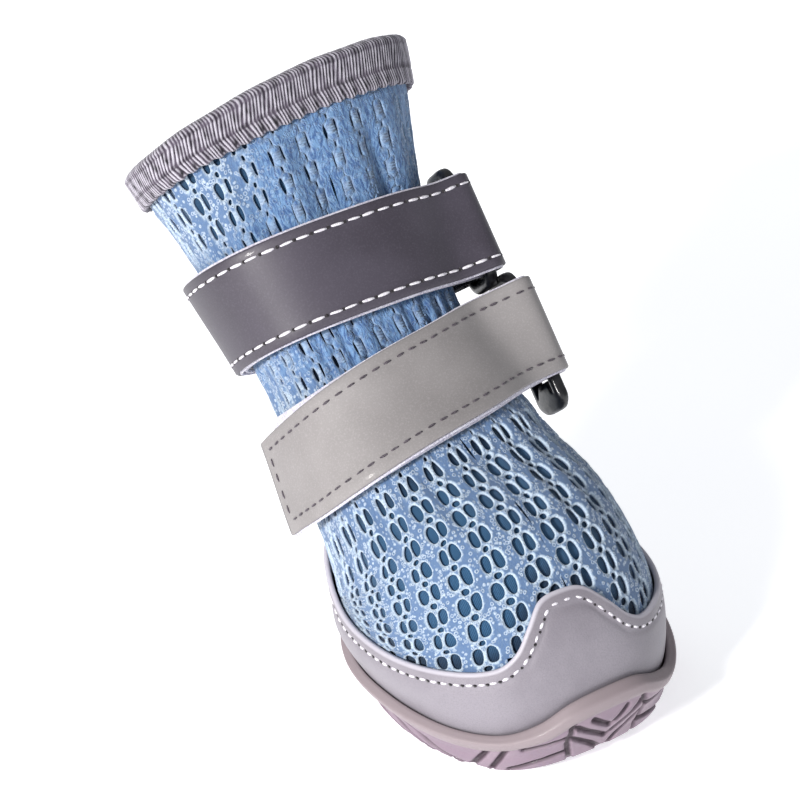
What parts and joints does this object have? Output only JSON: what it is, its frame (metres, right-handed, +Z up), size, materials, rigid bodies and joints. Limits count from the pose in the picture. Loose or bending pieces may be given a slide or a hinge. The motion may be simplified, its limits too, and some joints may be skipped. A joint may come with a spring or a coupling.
{
  "type": "dog boot",
  "caption": "Soft dog boot with a flared mesh shaft leaning back over a moulded cup sole, a toe cap and heel counter band, and straps through rectangular rings.",
  "frame": {"origin": "on the ground under the middle of the sole, on the flat of the forefoot", "axes": "+Z up, toe towards -Y, the wearer's left side towards +X, the sole resting on z = 0"},
  "size_m": [0.0619, 0.1155, 0.1123],
  "materials": {
    "sole_rubber": "mauve-grey moulded rubber, satin, with a blocky tread",
    "insole_foam": "dark brushed fabric on thin foam",
    "air_mesh": "light blue open air mesh over a darker blue backing",
    "foxing_leather": "pale grey synthetic leather, fine grain, one row of stitches",
    "binding_knit": "pale grey knitted tape with dark flecks",
    "strap_dark": "dark grey reflective coated strap with white stitches",
    "strap_light": "light grey reflective coated strap with dark and white stitches",
    "ring_plastic": "black moulded plastic, slightly glossy",
    "webbing": "black woven webbing"
  },
  "bodies": {
    "root": {"outsole": "sole_rubber", "insole": "insole_foam", "upper": "air_mesh", "foxing": "foxing_leather", "collar_binding": "binding_knit", "strap_upper": "strap_dark", "ring_upper": "ring_plastic", "ring_tab_upper": "webbing", "strap_lower": "strap_light", "ring_lower": "ring_plastic", "ring_tab_lower": "webbing"}
  },
  "joints": []
}
